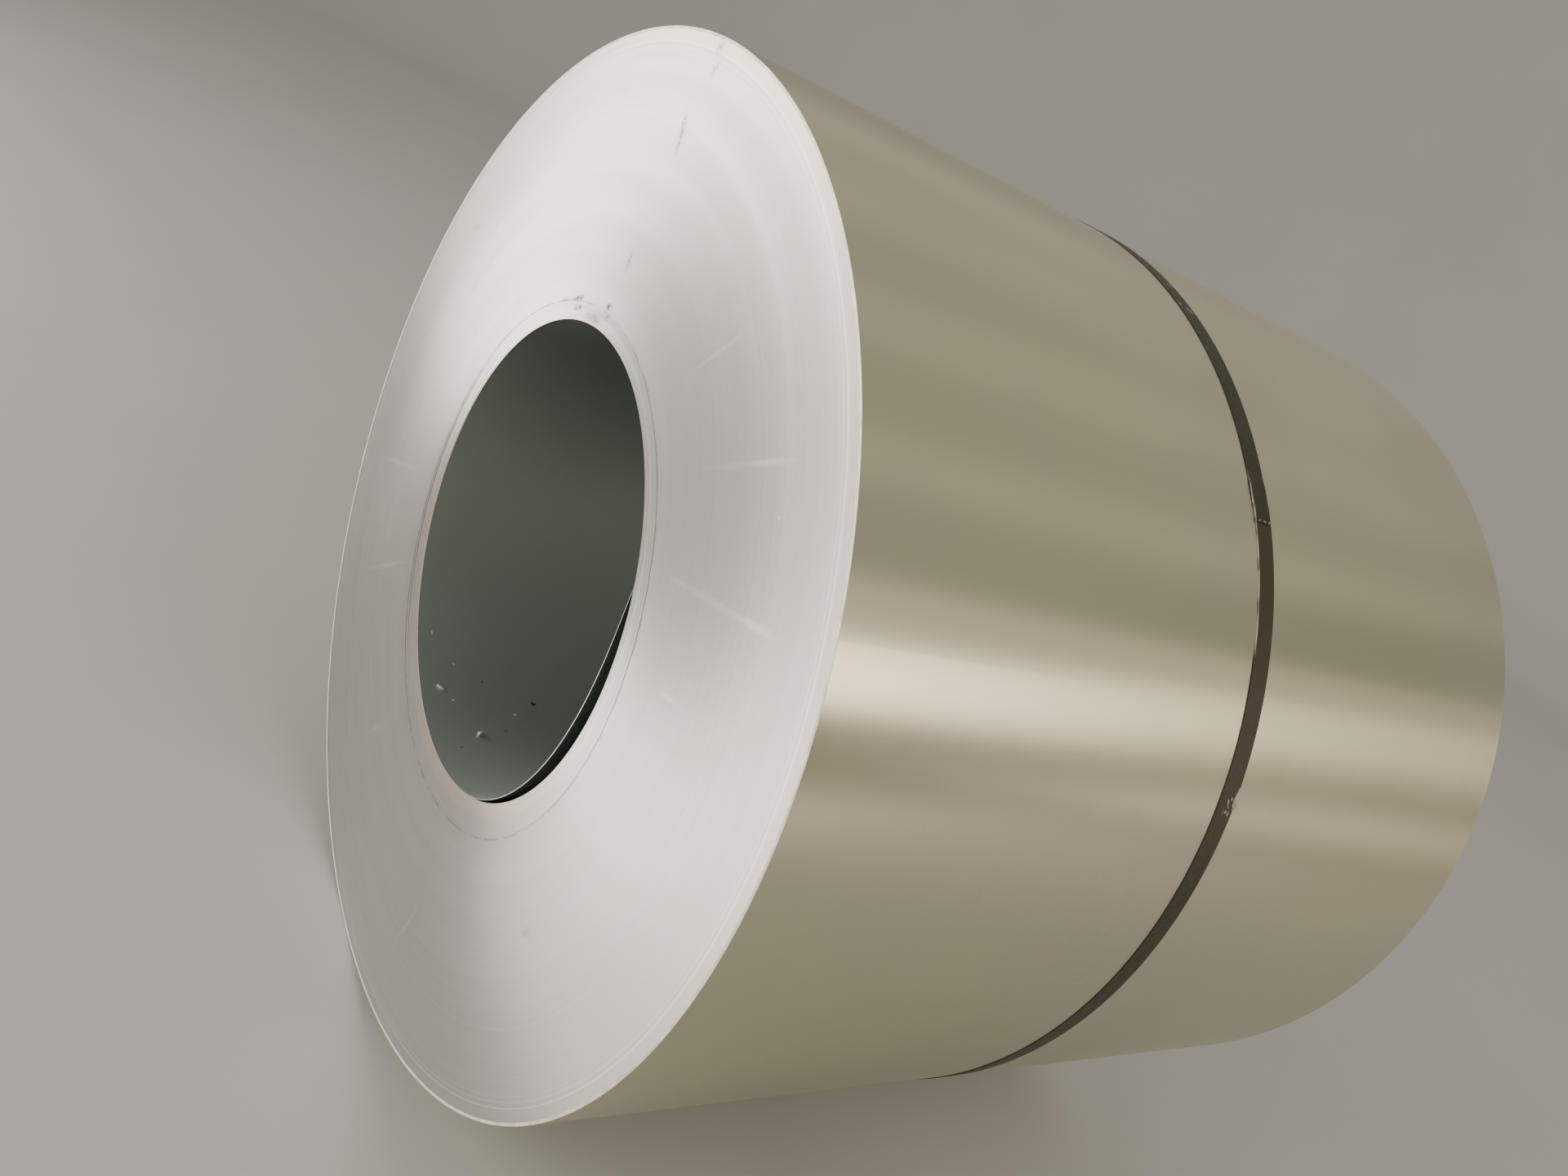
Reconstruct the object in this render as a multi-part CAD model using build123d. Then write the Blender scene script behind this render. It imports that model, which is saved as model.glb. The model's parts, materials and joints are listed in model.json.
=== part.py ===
from build123d import *
import math
import os

# A coil of cold-rolled steel strip, wound tight on its eye and held by one steel strap.
# Millimetres. Y runs along the coil's axis, from the end that is seen to the hidden end, and Z is up.
# Angles go from +X up towards +Z. The origin is under the middle of the coil.

# The strip and the coil wound from it
STRIP_WIDTH = 1250.0
EYE_DIAMETER = 610.0
COIL_DIAMETER = 1320.0

# Rings of turns beside the eye that drifted sideways in winding, from the eye outwards:
# how thick each ring is, and how far it drifted towards the hidden end
EYE_RING_WIDTHS = (7.0, 9.0, 8.0)
EYE_RING_DRIFTS = (5.0, 6.5, 5.5)

# The open line where the first turns end, seen as a groove on both ends
GROOVE_WIDTH = 2.0
GROOVE_DEPTH = 3.0

# Outside the groove the turns come back to the flat main face over this thickness
RETURN_WIDTH = 230.0

# Rings of turns at the outside that slipped, from the main face outwards
OUTSIDE_RING_WIDTHS = (14.0, 8.0, 3.0)
OUTSIDE_RING_DRIFTS = (0.4, 0.8, 0.0)

# The strap round the coil, how far it lies from the middle towards the seen end,
# and where its upper end lies over the lower one
STRAP_WIDTH = 32.0
STRAP_THICKNESS = 0.9
STRAP_OFF_MIDDLE = 9.0
LAP_LENGTH = 40.0
LAP_ANGLE = 49.25
LAP_SIDESTEP = 2.5

# Run-up of the upper end where it climbs over the lower one
CLIMB_LENGTH = 14.0

# Key slots punched through the upper end beside its tip, which lock it to the lower one
KEY_COUNT = 3
KEY_WIDTH = 3.0
KEY_LENGTH = 8.0
KEY_PITCH = 9.0
KEY_FROM_TIP = 5.0

# Notch torn out of the strap's far edge
NOTCH_ANGLE = 19.5
NOTCH_LENGTH = 20.0
NOTCH_DEPTH = 4.0

eye_radius = EYE_DIAMETER / 2
coil_radius = COIL_DIAMETER / 2
strap_radius = coil_radius + STRAP_THICKNESS
strap_y = -STRAP_OFF_MIDDLE
centre_height = strap_radius
groove_radius = eye_radius + sum(EYE_RING_WIDTHS)

# The drifts run from none to this, and the coil is centred on the origin between them
middle_drift = max(EYE_RING_DRIFTS) / 2

# Axis that the coil is turned about, pointing at the seen end, so that turning goes from +X up to +Z
coil_axis = Axis((0, 0, 0), (0, -1, 0))


def ring_corners():
    """Radius and drift along Y of each corner of the end face, from the eye outwards."""
    corners = []
    radius = eye_radius
    for width, drift in zip(EYE_RING_WIDTHS, EYE_RING_DRIFTS):
        corners.append((radius, drift))
        corners.append((radius + width, drift))
        radius += width
    corners.append((groove_radius + GROOVE_WIDTH, EYE_RING_DRIFTS[-1]))
    corners.append((groove_radius + GROOVE_WIDTH + RETURN_WIDTH, 0.0))
    radius = coil_radius - sum(OUTSIDE_RING_WIDTHS)
    corners.append((radius, 0.0))
    for width, drift in zip(OUTSIDE_RING_WIDTHS, OUTSIDE_RING_DRIFTS):
        corners.append((radius, drift))
        corners.append((radius + width, drift))
        radius += width
    return corners


def turned_band(inner, outer, start_y, end_y, start_angle=0.0, sweep=360.0):
    """Band of rectangular section turned about the coil's axis."""
    section = make_face(Polyline((inner, start_y), (outer, start_y), (outer, end_y), (inner, end_y), close=True))
    return revolve(section, coil_axis, sweep).rotate(coil_axis, start_angle)


def make_coil():
    """The wound strip as one turned solid: every turn is as wide as the strip, so both ends drift alike."""
    corners = ring_corners()
    seen_y = -STRIP_WIDTH / 2 - middle_drift
    hidden_y = STRIP_WIDTH / 2 - middle_drift
    seen_end = [(radius, seen_y + drift) for radius, drift in corners]
    hidden_end = [(radius, hidden_y + drift) for radius, drift in corners]
    turns = revolve(make_face(Polyline(seen_end + hidden_end[::-1], close=True)), coil_axis, 360)
    groove_drift = EYE_RING_DRIFTS[-1]
    groove_edge = groove_radius + GROOVE_WIDTH
    for face_y, inwards in ((seen_y + groove_drift, 1), (hidden_y + groove_drift, -1)):
        floor_y = face_y + inwards * GROOVE_DEPTH
        outside_y = face_y - inwards * GROOVE_DEPTH
        turns -= turned_band(groove_radius, groove_edge, outside_y, floor_y)
    return turns


def make_climb(start_angle):
    """Wedge under the upper end where it leaves the hoop, falling to nothing over its run-up."""
    first = math.radians(start_angle)
    last = first + CLIMB_LENGTH / strap_radius
    top = strap_radius + STRAP_THICKNESS
    wedge = Polyline(
        (strap_radius * math.cos(first), strap_radius * math.sin(first)),
        (top * math.cos(first), top * math.sin(first)),
        (strap_radius * math.cos(last), strap_radius * math.sin(last)),
        close=True,
    )
    side = Plane(origin=(0, strap_y - LAP_SIDESTEP - STRAP_WIDTH / 2, 0), x_dir=(1, 0, 0), z_dir=(0, -1, 0))
    return extrude(side * make_face(wedge), -STRAP_WIDTH)


def cutter(angle, radius, y, depth, width, length):
    """Box centred on a point of the strap, with its length along the strap and its depth along the radius."""
    return (Pos(radius, y, 0) * Box(depth, width, length)).rotate(coil_axis, angle)


def make_strap():
    """The strap as one solid: a hoop on the coil, whose upper end lies over the lower one and is keyed to it."""
    half = STRAP_WIDTH / 2
    top = strap_radius + STRAP_THICKNESS
    lap_y = strap_y - LAP_SIDESTEP
    lap_sweep = math.degrees(LAP_LENGTH / strap_radius)
    tip_angle = LAP_ANGLE - lap_sweep / 2
    strap = turned_band(coil_radius, strap_radius, strap_y - half, strap_y + half)
    strap += turned_band(strap_radius, top, lap_y - half, lap_y + half, tip_angle, lap_sweep)
    strap += make_climb(tip_angle + lap_sweep)
    key_angle = tip_angle + math.degrees((KEY_FROM_TIP + KEY_LENGTH / 2) / strap_radius)
    for index in range(KEY_COUNT):
        key_y = lap_y + (index - (KEY_COUNT - 1) / 2) * KEY_PITCH
        strap -= cutter(key_angle, top, key_y, 2 * STRAP_THICKNESS, KEY_WIDTH, KEY_LENGTH)
    notch_y = strap_y + half
    strap -= cutter(NOTCH_ANGLE, coil_radius, notch_y, 4 * STRAP_THICKNESS, 2 * NOTCH_DEPTH, NOTCH_LENGTH)
    return strap


pieces = {
    "coil": make_coil(),
    "strap": make_strap(),
}

os.makedirs("parts", exist_ok=True)
for name, solid in pieces.items():
    export_step(Pos(0, 0, centre_height) * solid, f"parts/{name}.step")
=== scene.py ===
"""Looks of a steel coil that lies on its side: cold-rolled strip wound on its eye and held by one strap.

Metres. Y runs along the coil's axis, from the end that is seen to the hidden end, and Z is up. Angles go
from +X up towards +Z round the coil's axis, as the seen end shows them.
"""
import json
import math

import bpy
import numpy as np
from bpy.props import FloatProperty, FloatVectorProperty, IntProperty, PointerProperty
from mathutils import Matrix, Quaternion, Vector


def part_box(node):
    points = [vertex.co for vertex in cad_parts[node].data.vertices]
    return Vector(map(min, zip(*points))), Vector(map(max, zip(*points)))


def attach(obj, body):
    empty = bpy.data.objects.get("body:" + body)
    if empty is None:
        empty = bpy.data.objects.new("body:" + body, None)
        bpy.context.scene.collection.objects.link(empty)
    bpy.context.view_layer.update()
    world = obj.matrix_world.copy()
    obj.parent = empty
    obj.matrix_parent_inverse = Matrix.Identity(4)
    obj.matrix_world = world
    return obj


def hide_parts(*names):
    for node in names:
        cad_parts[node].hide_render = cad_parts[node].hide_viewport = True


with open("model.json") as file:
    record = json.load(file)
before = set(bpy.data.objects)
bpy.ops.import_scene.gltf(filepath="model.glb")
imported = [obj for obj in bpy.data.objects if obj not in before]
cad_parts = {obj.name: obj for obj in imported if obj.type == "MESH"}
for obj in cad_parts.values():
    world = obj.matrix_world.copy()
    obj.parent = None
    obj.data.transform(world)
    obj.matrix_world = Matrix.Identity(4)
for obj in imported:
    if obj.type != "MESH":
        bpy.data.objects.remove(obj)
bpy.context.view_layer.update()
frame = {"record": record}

bl_info = {
    "name": "Steel coil",
    "version": (1, 0, 0),
    "blender": (4, 5, 0),
    "location": "3D View > Sidebar > Coil",
    "description": "Winds a strip coil with its loose inner lap, straps it and lights it",
    "category": "Object",
}

# What the frame says of the coil
MM = 0.001
MOUNTS = {mount["name"]: mount for mount in frame["record"]["mounts"]}
EYE_RADIUS = MOUNTS["eye"]["dims"]["r_mm"] * MM
SKIN_RADIUS = MOUNTS["skin"]["dims"]["r_mm"] * MM
STRIP_WIDTH = MOUNTS["eye"]["dims"]["length_mm"] * MM
AXIS_HEIGHT = MOUNTS["eye"]["pos_m"][2]
SEEN_Y = MOUNTS["seen_end"]["pos_m"][1]
HIDDEN_Y = SEEN_Y + STRIP_WIDTH
STRAP_LOW, STRAP_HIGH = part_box("strap")

# Rings of turns from the eye outwards, in millimetres: outer radius, drift towards the hidden end at the
# ring's inner and outer side, how many bands of turns show in it, and how far a band may slip. The fourth is
# the open line where the first turns end, and the fifth comes back to the main face in a soft curve.
RINGS = (
    (312, 5.4, 5.4, 4, 0.10),
    (321, 5.5, 5.6, 4, 0.08),
    (329, 5.6, 5.5, 3, 0.08),
    (331, 5.9, 5.9, 1, 0),
    (561, 5.5, 0, 46, 0.03),
    (635, 0, 0, 14, 0.03),
    (649, 0.05, 0.15, 5, 0.04),
    (656.5, 0.15, 0.20, 3, 0.04),
    (660, 0.1, 0, 2, 0.03),
)
(EYE_RING, _, LINE_INNER, LINE_OUTER, _,
 OUTSIDE_START, OUTSIDE_FULL, RIM_START, _) = [ring[0] * MM for ring in RINGS]

# Drift of the turns beside the eye, and the most that any turn drifts
EYE_DRIFT = RINGS[0][1] * MM
MOST_DRIFT = 6.5 * MM

# How much wider the open line lies than the CAD's, and the radius at which its turns have settled again
LINE_ASIDE = 9 * MM
LINE_SETTLED = 401 * MM

# Chips and specks of scale on the eye's wall: angle, depth from the seen end in millimetres, then length,
# width and height, turn from the coil's axis, and whether it is pale
EYE_CHIPS = (
    (-93.7, 75, 10, 6.5, 4.5, -35, True),
    (-108.5, 30, 13, 4.5, 3.5, 35, True),
    (-106.5, 173, 9, 4, 1.5, 20, False),
    (-124.9, 22, 5, 2, 0.8, 80, True),
    (-116.4, 54, 4, 2, 0.8, 10, True),
    (-105.0, 47, 4, 3, 0.8, 40, True),
    (-102.1, 140, 5, 3, 0.8, 0, True),
    (-112.0, 96, 3, 2, 0.6, 65, False),
    (-96.0, 118, 3, 2, 0.6, 15, False),
    (-88.0, 41, 3, 2, 0.6, 50, False),
)

# Thin lighter rings on the ends where a turn stands out: radius in millimetres, and how bright
LIGHT_RINGS = ((560, 0.20), (630, 0.25), (636, 0.50), (642, 1.00))

# Marks on the seen end, from the axis in millimetres: centre along X and Z, turn from X, half length, half
# width, and how much lighter or darker it is. The darker ones are rubs and scuffs; the lighter ones are
# painted highlight streaks along the radii, which stand in for the sheen of the turned end.
END_RUBS_AND_HIGHLIGHTS = (
    (-46, 645, 75, 14, 11, -0.40),
    (-36, 625, 65, 12, 8, -0.32),
    (-50, 556, 119, 20, 9, -0.45),
    (-43, 536, 105, 16, 7, -0.45),
    (-44, 392, 104, 20, 6, -0.36),
    (-128, 307, 31, 24, 5, -0.80),
    (-162, 289, 24, 18, 4, -0.50),
    (-120, 297, 26, 15, 5, -0.80),
    (-45, 333, 20, 11, 6, -0.70),
    (-72, 306, 15, 32, 9, -0.45),
    (-39, 321, 40, 11, 5, -0.50),
    (351, 350, 34, 95, 5, 0.35),
    (385, 372, 34, 45, 6, 0.45),
    (415, 229, 19, 110, 6, 0.40),
    (482, 253, 18, 42, 7, 0.60),
    (336, 201, 20, 28, 5, 0.40),
    (218, 405, 51, 68, 4, 0.40),
    (413, 113, 21, 30, 5, 0.45),
    (-460, -137, 23, 85, 6, 0.40),
    (-362, -265, 39, 100, 6, 0.40),
    (-171, -434, 49, 24, 5, 0.35),
    (-250, -400, -27, 70, 5, 0.25),
    (158, -490, 82, 60, 5, 0.25),
    (434, 342, 20, 3.5, 2.5, 0.90),
    (-562, 40, 60, 14, 8, -0.12),
    (-517, 242, 30, 20, 8, -0.16),
    (391, -246, 50, 16, 9, -0.16),
)

# Tabs of the strap's lap: millimetres from its middle, length across the strap, width along it, and turn
KEY_TABS = (
    (-9.0, 6.5, 3.2, 15),
    (1.0, 7.0, 3.4, -10),
    (10.5, 5.5, 3.2, 20),
)

# Bare marks on the strap: angle, millimetres from its middle, half length, half width, turn from straight
# across, and how much of the paint is gone
STRAP_MARKS = (
    (18.9, 5.5, 9.0, 1.9, 66, 1.00),
    (18.0, 3.5, 2.8, 2.4, 0, 0.90),
    (17.8, 9.0, 5.0, 1.7, 80, 0.80),
    (18.0, -1.5, 5.0, 1.3, 84, 0.60),
    (19.4, 10.5, 3.5, 2.0, 50, 0.80),
    (79.6, -10.0, 5.0, 3.6, 20, 0.30),
    (79.0, 8.0, 8.0, 3.8, 30, 0.42),
    (74.9, -9.0, 6.0, 4.4, 20, 0.45),
    (74.2, 6.0, 10.0, 3.6, 40, 0.55),
)

# Long soft boxes beside and over the coil, which show as bands in its skin: lowest and highest angle round the
# axis, start and end along it, how far they slant up in a metre, and brightness
BAND_LIGHTS = (
    (13, 25, 0.3, 3.0, 1.0, 4.4),
    (13, 25, 3.0, 5.5, 1.0, 1.3),
    (15, 27, 5.5, 9.5, 0.6, 0.6),
    (26, 38, -0.5, 9.5, 0.0, 0.40),
    (-9, -4, -0.5, 3.5, 1.0, 1.1),
    (-8, 1, 3.5, 9.5, 0.8, 1.0),
    (56, 66, -0.5, 9.5, 0.0, 0.15),
    (83, 94, -0.5, 9.5, 0.0, 0.15),
    (110, 121, -0.5, 9.5, 0.0, 0.15),
    (131, 146, -0.5, 9.5, 0.0, 0.15),
)

# How far they stand from the axis, and how much warmer they are than the studio's light
BAND_REACH = 4.2
BAND_TINT = (1.06, 0.98, 0.88)

# Colours of steel that the settings don't hold
RUBBED_RIM = (0.95, 0.91, 0.85)
# Painted shade of the gap behind the loose lap, and its deeper patches
GAP_SHADE, DEEP_GAP_SHADE = (0.15, 0.18, 0.155), (0.105, 0.125, 0.105)
PALE_CHIP, DARK_CHIP = (0.85, 0.86, 0.80), (0.03, 0.03, 0.025)
RUBBED_KEYS, TORN_STEEL = (0.36, 0.33, 0.24), (0.96, 0.90, 0.74)

# Soft boxes that light the seen end: name, place, width, height and brightness, and the world's even light
STUDIO_BOXES = (
    ("left_box", (-3.05, -4.2, 0.98), 2.4, 1.9, 11.5),
    ("front_box", (-0.71, -5.07, 1.6), 3.2, 3.0, 4.0),
)
WORLD_LIGHT = 0.44

# The photograph's camera, fitted to its rims: place, what it looks at, roll and focal length in millimetres
CAMERA_PLACE = Vector((1.2497, -1.2840, 1.3851))
CAMERA_TARGET = Vector((-0.1480, -0.0815, 0.6103))
CAMERA_ROLL = math.radians(29.57)
CAMERA_LENS = 28.29


class TurnsSettings(bpy.types.PropertyGroup):
    """Sizes of the wound strip."""

    strip_thickness: FloatProperty(
        name="Strip thickness", description="Thickness of the strip, and height of its end on the skin",
        default=0.9 * MM, min=0.2 * MM, max=4 * MM, unit="LENGTH")
    columns: IntProperty(
        name="Steps round", description="Steps that a turn is drawn with", default=256, min=64, max=400)
    tail_angle: FloatProperty(
        name="Tail angle", description="Where the strip's outer end lies on the skin",
        default=math.radians(205), subtype="ANGLE")
    line_drop: FloatProperty(
        name="Drop of the open line", description="How far the open line's centre lies below the eye's",
        default=12 * MM, min=0, max=15 * MM, unit="LENGTH")
    steel: FloatVectorProperty(
        name="Skin", description="Colour of the rolled skin", subtype="COLOR", default=(0.65, 0.66, 0.48))
    edge_steel: FloatVectorProperty(
        name="Ends", description="Colour of the strip's cut edges", subtype="COLOR",
        default=(0.78, 0.763, 0.77))
    eye_steel: FloatVectorProperty(
        name="Eye", description="Colour of the steel inside the eye", subtype="COLOR",
        default=(0.52, 0.57, 0.53))


class LapSettings(bpy.types.PropertyGroup):
    """Sizes of the loose lap inside the eye."""

    free_angle: FloatProperty(
        name="Free end", description="Where the strip's inner end touches the wall",
        default=math.radians(28.5), subtype="ANGLE")
    sweep: FloatProperty(
        name="Loose stretch", description="How far round the lap runs before it lies on the wall",
        default=math.radians(90), subtype="ANGLE")
    stand_off: FloatProperty(
        name="Stand-off", description="Widest gap behind the lap", default=21.5 * MM, min=0, max=40 * MM,
        unit="LENGTH")


class StrapSettings(bpy.types.PropertyGroup):
    """Sizes and colour of the strap."""

    width: FloatProperty(
        name="Width", description="Width of the strap",
        default=32 * MM, min=10 * MM, max=60 * MM, unit="LENGTH")
    thickness: FloatProperty(
        name="Thickness", description="Thickness of the strap",
        default=0.9 * MM, min=0.4 * MM, max=2 * MM, unit="LENGTH")
    lower_tip: FloatProperty(
        name="Lower tip", description="Where the end underneath stops",
        default=math.radians(51), subtype="ANGLE")
    upper_tip: FloatProperty(
        name="Upper tip", description="Where the end on top stops",
        default=math.radians(47.2), subtype="ANGLE")
    notch_angle: FloatProperty(
        name="Notch", description="Where the far edge is torn",
        default=math.radians(19.5), subtype="ANGLE")
    paint: FloatVectorProperty(
        name="Paint", description="Colour of the strap's paint", subtype="COLOR",
        default=(0.036, 0.032, 0.011))
    # Also the colour of the near edge's painted highlight beside the lap
    bare_and_edge_highlight: FloatVectorProperty(
        name="Bare steel", description="Colour where the paint is gone", subtype="COLOR",
        default=(0.88, 0.84, 0.76))


class StageSettings(bpy.types.PropertyGroup):
    """The studio."""

    floor: FloatVectorProperty(
        name="Floor", description="Colour of the floor and the wall behind", subtype="COLOR",
        default=(0.60, 0.61, 0.62))
    light: FloatVectorProperty(
        name="Light", description="Colour of the studio's light", subtype="COLOR", default=(1.0, 0.91, 0.79))
    floor_radius: FloatProperty(
        name="Floor radius", description="Where the floor turns up into the wall", default=7.0, unit="LENGTH")
    wall_height: FloatProperty(
        name="Wall height", description="Height of the wall", default=5.0, unit="LENGTH")


# Shapes

def round_axis(radius, angle, y):
    """Points round the coil's axis: x is the radius times the angle's cosine, and z is the axis's height plus
    the radius times the angle's sine."""
    radius, angle, y = np.broadcast_arrays(radius, angle, y)
    return np.stack([radius * np.cos(angle), y, AXIS_HEIGHT + radius * np.sin(angle)], axis=-1)


def smooth_step(value):
    """Rises from 0 to 1 with the value, level at both ends: 3 times its square less twice its cube."""
    value = np.clip(value, 0, 1)
    return value * value * (3 - 2 * value)


def share_round(angle, start):
    """Share of a turn from the start to the angle, clockwise on the seen end, from 0 up to 1."""
    return np.mod(start - angle, math.tau) / math.tau


def grid_quads(rows, columns, rows_close=False, columns_close=False):
    """Corners of the quads between neighbouring points of a grid that is numbered row by row. The last row or
    column is joined to the first where it closes."""
    row = np.arange(rows if rows_close else rows - 1)[:, None]
    column = np.arange(columns if columns_close else columns - 1)[None, :]
    next_row = (row + 1) % rows
    next_column = (column + 1) % columns
    corners = (row * columns + column, row * columns + next_column,
               next_row * columns + next_column, next_row * columns + column)
    return np.stack(np.broadcast_arrays(*corners), axis=-1).reshape(-1, 4)


def bar_faces(columns):
    """Faces of a bar whose four corners are carried through that many places, with a cap on each end."""
    corners = np.arange(4) * columns
    caps = np.stack([corners, corners[::-1] + columns - 1])
    return np.concatenate([grid_quads(4, columns, rows_close=True), caps])


def grid_uv(across, along):
    """Coordinates of each quad's corners: across has a value for each row of points, and along for each
    column, with one more than there are quads each way."""
    grid = np.stack(np.meshgrid(across, along, indexing="ij"), axis=-1)
    corners = (grid[:-1, :-1], grid[:-1, 1:], grid[1:, 1:], grid[1:, :-1])
    return np.stack(corners, axis=2).reshape(-1, 4, 2)


def signed_volume(points, faces):
    """Volume inside the faces, below zero where they point inwards: a sixth of the corners' triple product,
    added up over the fan of triangles of each face."""
    total = 0.0
    for corner in range(1, faces.shape[1] - 1):
        crossed = np.cross(points[faces[:, corner]], points[faces[:, corner + 1]])
        total += np.einsum("ij,ij->", points[faces[:, 0]], crossed) / 6
    return total


def make_piece(name, points, faces, materials, kinds=None, uv=None, sharp=25.0):
    """Mesh object at the origin, with its faces turned outwards. Kinds gives the material of each face."""
    points = points.reshape(-1, 3)
    if signed_volume(points, faces) < 0:
        faces = faces[:, ::-1]
        uv = None if uv is None else uv[:, ::-1]
    mesh = bpy.data.meshes.new(name)
    mesh.from_pydata(points.tolist(), [], faces.tolist())
    for material in materials:
        mesh.materials.append(material)
    if kinds is not None:
        mesh.polygons.foreach_set("material_index", np.asarray(kinds, dtype=np.int32))
    if uv is not None:
        layer = mesh.uv_layers.new(name="across_along")
        layer.data.foreach_set("uv", np.ascontiguousarray(uv, dtype=np.float32).ravel())
    mesh.shade_smooth()
    mesh.set_sharp_from_angle(angle=math.radians(sharp))
    mesh.validate()
    mesh.update()
    piece = bpy.data.objects.new(name, mesh)
    bpy.context.scene.collection.objects.link(piece)
    return piece


# Materials

class Wiring:
    """Short ways to add nodes to one tree and to link them."""

    def __init__(self, tree):
        self.tree = tree

    def add(self, kind, inputs=None, **attributes):
        """A node with its attributes set, and its inputs set to values or linked from sockets."""
        node = self.tree.nodes.new(kind)
        for name, value in attributes.items():
            setattr(node, name, value)
        for name, value in (inputs or {}).items():
            self.join(value, node.inputs[name])
        return node

    def join(self, value, socket):
        """Links an output to the socket, or sets the socket to a value. A colour's fourth part is added."""
        if isinstance(value, bpy.types.NodeSocket):
            self.tree.links.new(value, socket)
        elif socket.type == "RGBA":
            socket.default_value = (*value, 1.0)
        else:
            socket.default_value = value

    def maths(self, operation, *values, clamp=False):
        """Result of a Math node."""
        inputs = dict(enumerate(values))
        return self.add("ShaderNodeMath", inputs, operation=operation, use_clamp=clamp).outputs[0]

    def times(self, first, second):
        """Product of two values."""
        return self.maths("MULTIPLY", first, second)

    def plus(self, first, second):
        """Sum of two values."""
        return self.maths("ADD", first, second)

    def spread(self, value, low, high, to_low=0.0, to_high=1.0):
        """A value carried smoothly from one range to another, and held at its ends."""
        inputs = {"Value": value, "From Min": low, "From Max": high, "To Min": to_low, "To Max": to_high}
        return self.add("ShaderNodeMapRange", inputs, interpolation_type="SMOOTHSTEP").outputs["Result"]

    def mottle(self, noise, to_low, to_high):
        """A noise, which hardly leaves the range from 0.3 to 0.7, carried to another range."""
        return self.spread(noise, 0.3, 0.7, to_low, to_high)

    def blend(self, share, first, second):
        """Mix of two colours."""
        node = self.add("ShaderNodeMix", data_type="RGBA")
        self.join(share, node.inputs["Factor"])
        for name, value in (("A", first), ("B", second)):
            self.join(value, [s for s in node.inputs if s.name == name and s.type == "RGBA"][0])
        return [s for s in node.outputs if s.type == "RGBA"][0]

    def noise(self, vector, scale, detail=2.0, roughness=0.5):
        """Value of a Noise Texture."""
        inputs = {"Vector": vector, "Scale": scale, "Detail": detail, "Roughness": roughness}
        return self.add("ShaderNodeTexNoise", inputs).outputs["Fac"]

    def group(self, name, inputs=None):
        """Outputs of a placed node group."""
        return self.add("ShaderNodeGroup", inputs, node_tree=bpy.data.node_groups[name]).outputs

    def lines(self, place, across, fineness, run):
        """Outputs of the group of lines, which follow each other along one of the place's outputs."""
        inputs = {"Across": place[across], "Place": place["Place"], "Fineness": fineness, "Run": run}
        return self.group("rolling_lines", inputs)

    def smudges(self, place, scale, low, high):
        """Mask of the group of smudges."""
        inputs = {"Place": place["Place"], "Scale": scale, "Low": low, "High": high}
        return self.group("smudges", inputs)["Mask"]

    def rub(self, u, v, centre_u, centre_v, turn, half_length, half_width):
        """Mask of one oval mark, which serves for rubs and for painted highlight streaks. Its turn is in
        degrees, and its half sizes are in millimetres.
        """
        inputs = {"U": u, "V": v, "Centre U": centre_u, "Centre V": centre_v, "Turn": math.radians(turn),
                  "Half length": half_length * MM, "Half width": half_width * MM}
        return self.group("rub_mark", inputs)["Mask"]


class Finish(Wiring):
    """One material and its shader. Its grain runs across the strip on the shared UV map, or turned from there
    by a share of a whole turn."""

    def __init__(self, name, roughness, metallic, anisotropic=0.0, grain_turn=0.0):
        self.material = bpy.data.materials.new(name)
        self.material.use_nodes = True
        super().__init__(self.material.node_tree)
        self.shader = self.tree.nodes["Principled BSDF"]
        self.set("Roughness", roughness)
        self.set("Metallic", metallic)
        self.set("Anisotropic", anisotropic)
        self.set("Anisotropic Rotation", grain_turn)
        if anisotropic:
            tangent = self.add("ShaderNodeTangent", direction_type="UV_MAP", uv_map="across_along")
            self.set("Tangent", tangent.outputs[0])

    def set(self, label, value):
        """Sets one of the shader's sockets, or links an output to it."""
        self.join(value, self.shader.inputs[label])

    def bump(self, height, strength, distance):
        """Raises the surface where the height does."""
        inputs = {"Height": height, "Strength": strength, "Distance": distance}
        self.set("Normal", self.add("ShaderNodeBump", inputs).outputs[0])


def new_group(name, inputs, outputs):
    """A shader node group with its wiring, its input sockets and its output sockets. Inputs are given as
    name, kind and default, and outputs as name and kind."""
    tree = bpy.data.node_groups.new(name, "ShaderNodeTree")
    for label, kind, value in inputs:
        socket = tree.interface.new_socket(label, in_out="INPUT", socket_type=kind)
        socket.default_value = value
    for label, kind in outputs:
        tree.interface.new_socket(label, in_out="OUTPUT", socket_type=kind)
    start = tree.nodes.new("NodeGroupInput")
    end = tree.nodes.new("NodeGroupOutput")
    return Wiring(tree), start.outputs, end.inputs


def make_place_group():
    """Where a point lies on the coil: its place with the axis at nought, its radius, and each part of it."""
    wires, _, ends = new_group("place_on_coil", (), (
        ("Place", "NodeSocketVector"), ("Radius", "NodeSocketFloat"),
        ("Across", "NodeSocketFloat"), ("Up", "NodeSocketFloat"), ("Depth", "NodeSocketFloat")))
    object_place = wires.add("ShaderNodeTexCoord").outputs["Object"]
    centred = wires.add("ShaderNodeMapping", {"Vector": object_place, "Location": (0, 0, -AXIS_HEIGHT)})
    parts = wires.add("ShaderNodeSeparateXYZ", {0: centred.outputs[0]}).outputs
    squares = wires.plus(wires.times(parts[0], parts[0]), wires.times(parts[2], parts[2]))
    wires.join(centred.outputs[0], ends["Place"])
    wires.join(wires.maths("SQRT", squares), ends["Radius"])
    wires.join(parts[0], ends["Across"])
    wires.join(parts[2], ends["Up"])
    wires.join(parts[1], ends["Depth"])


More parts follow.
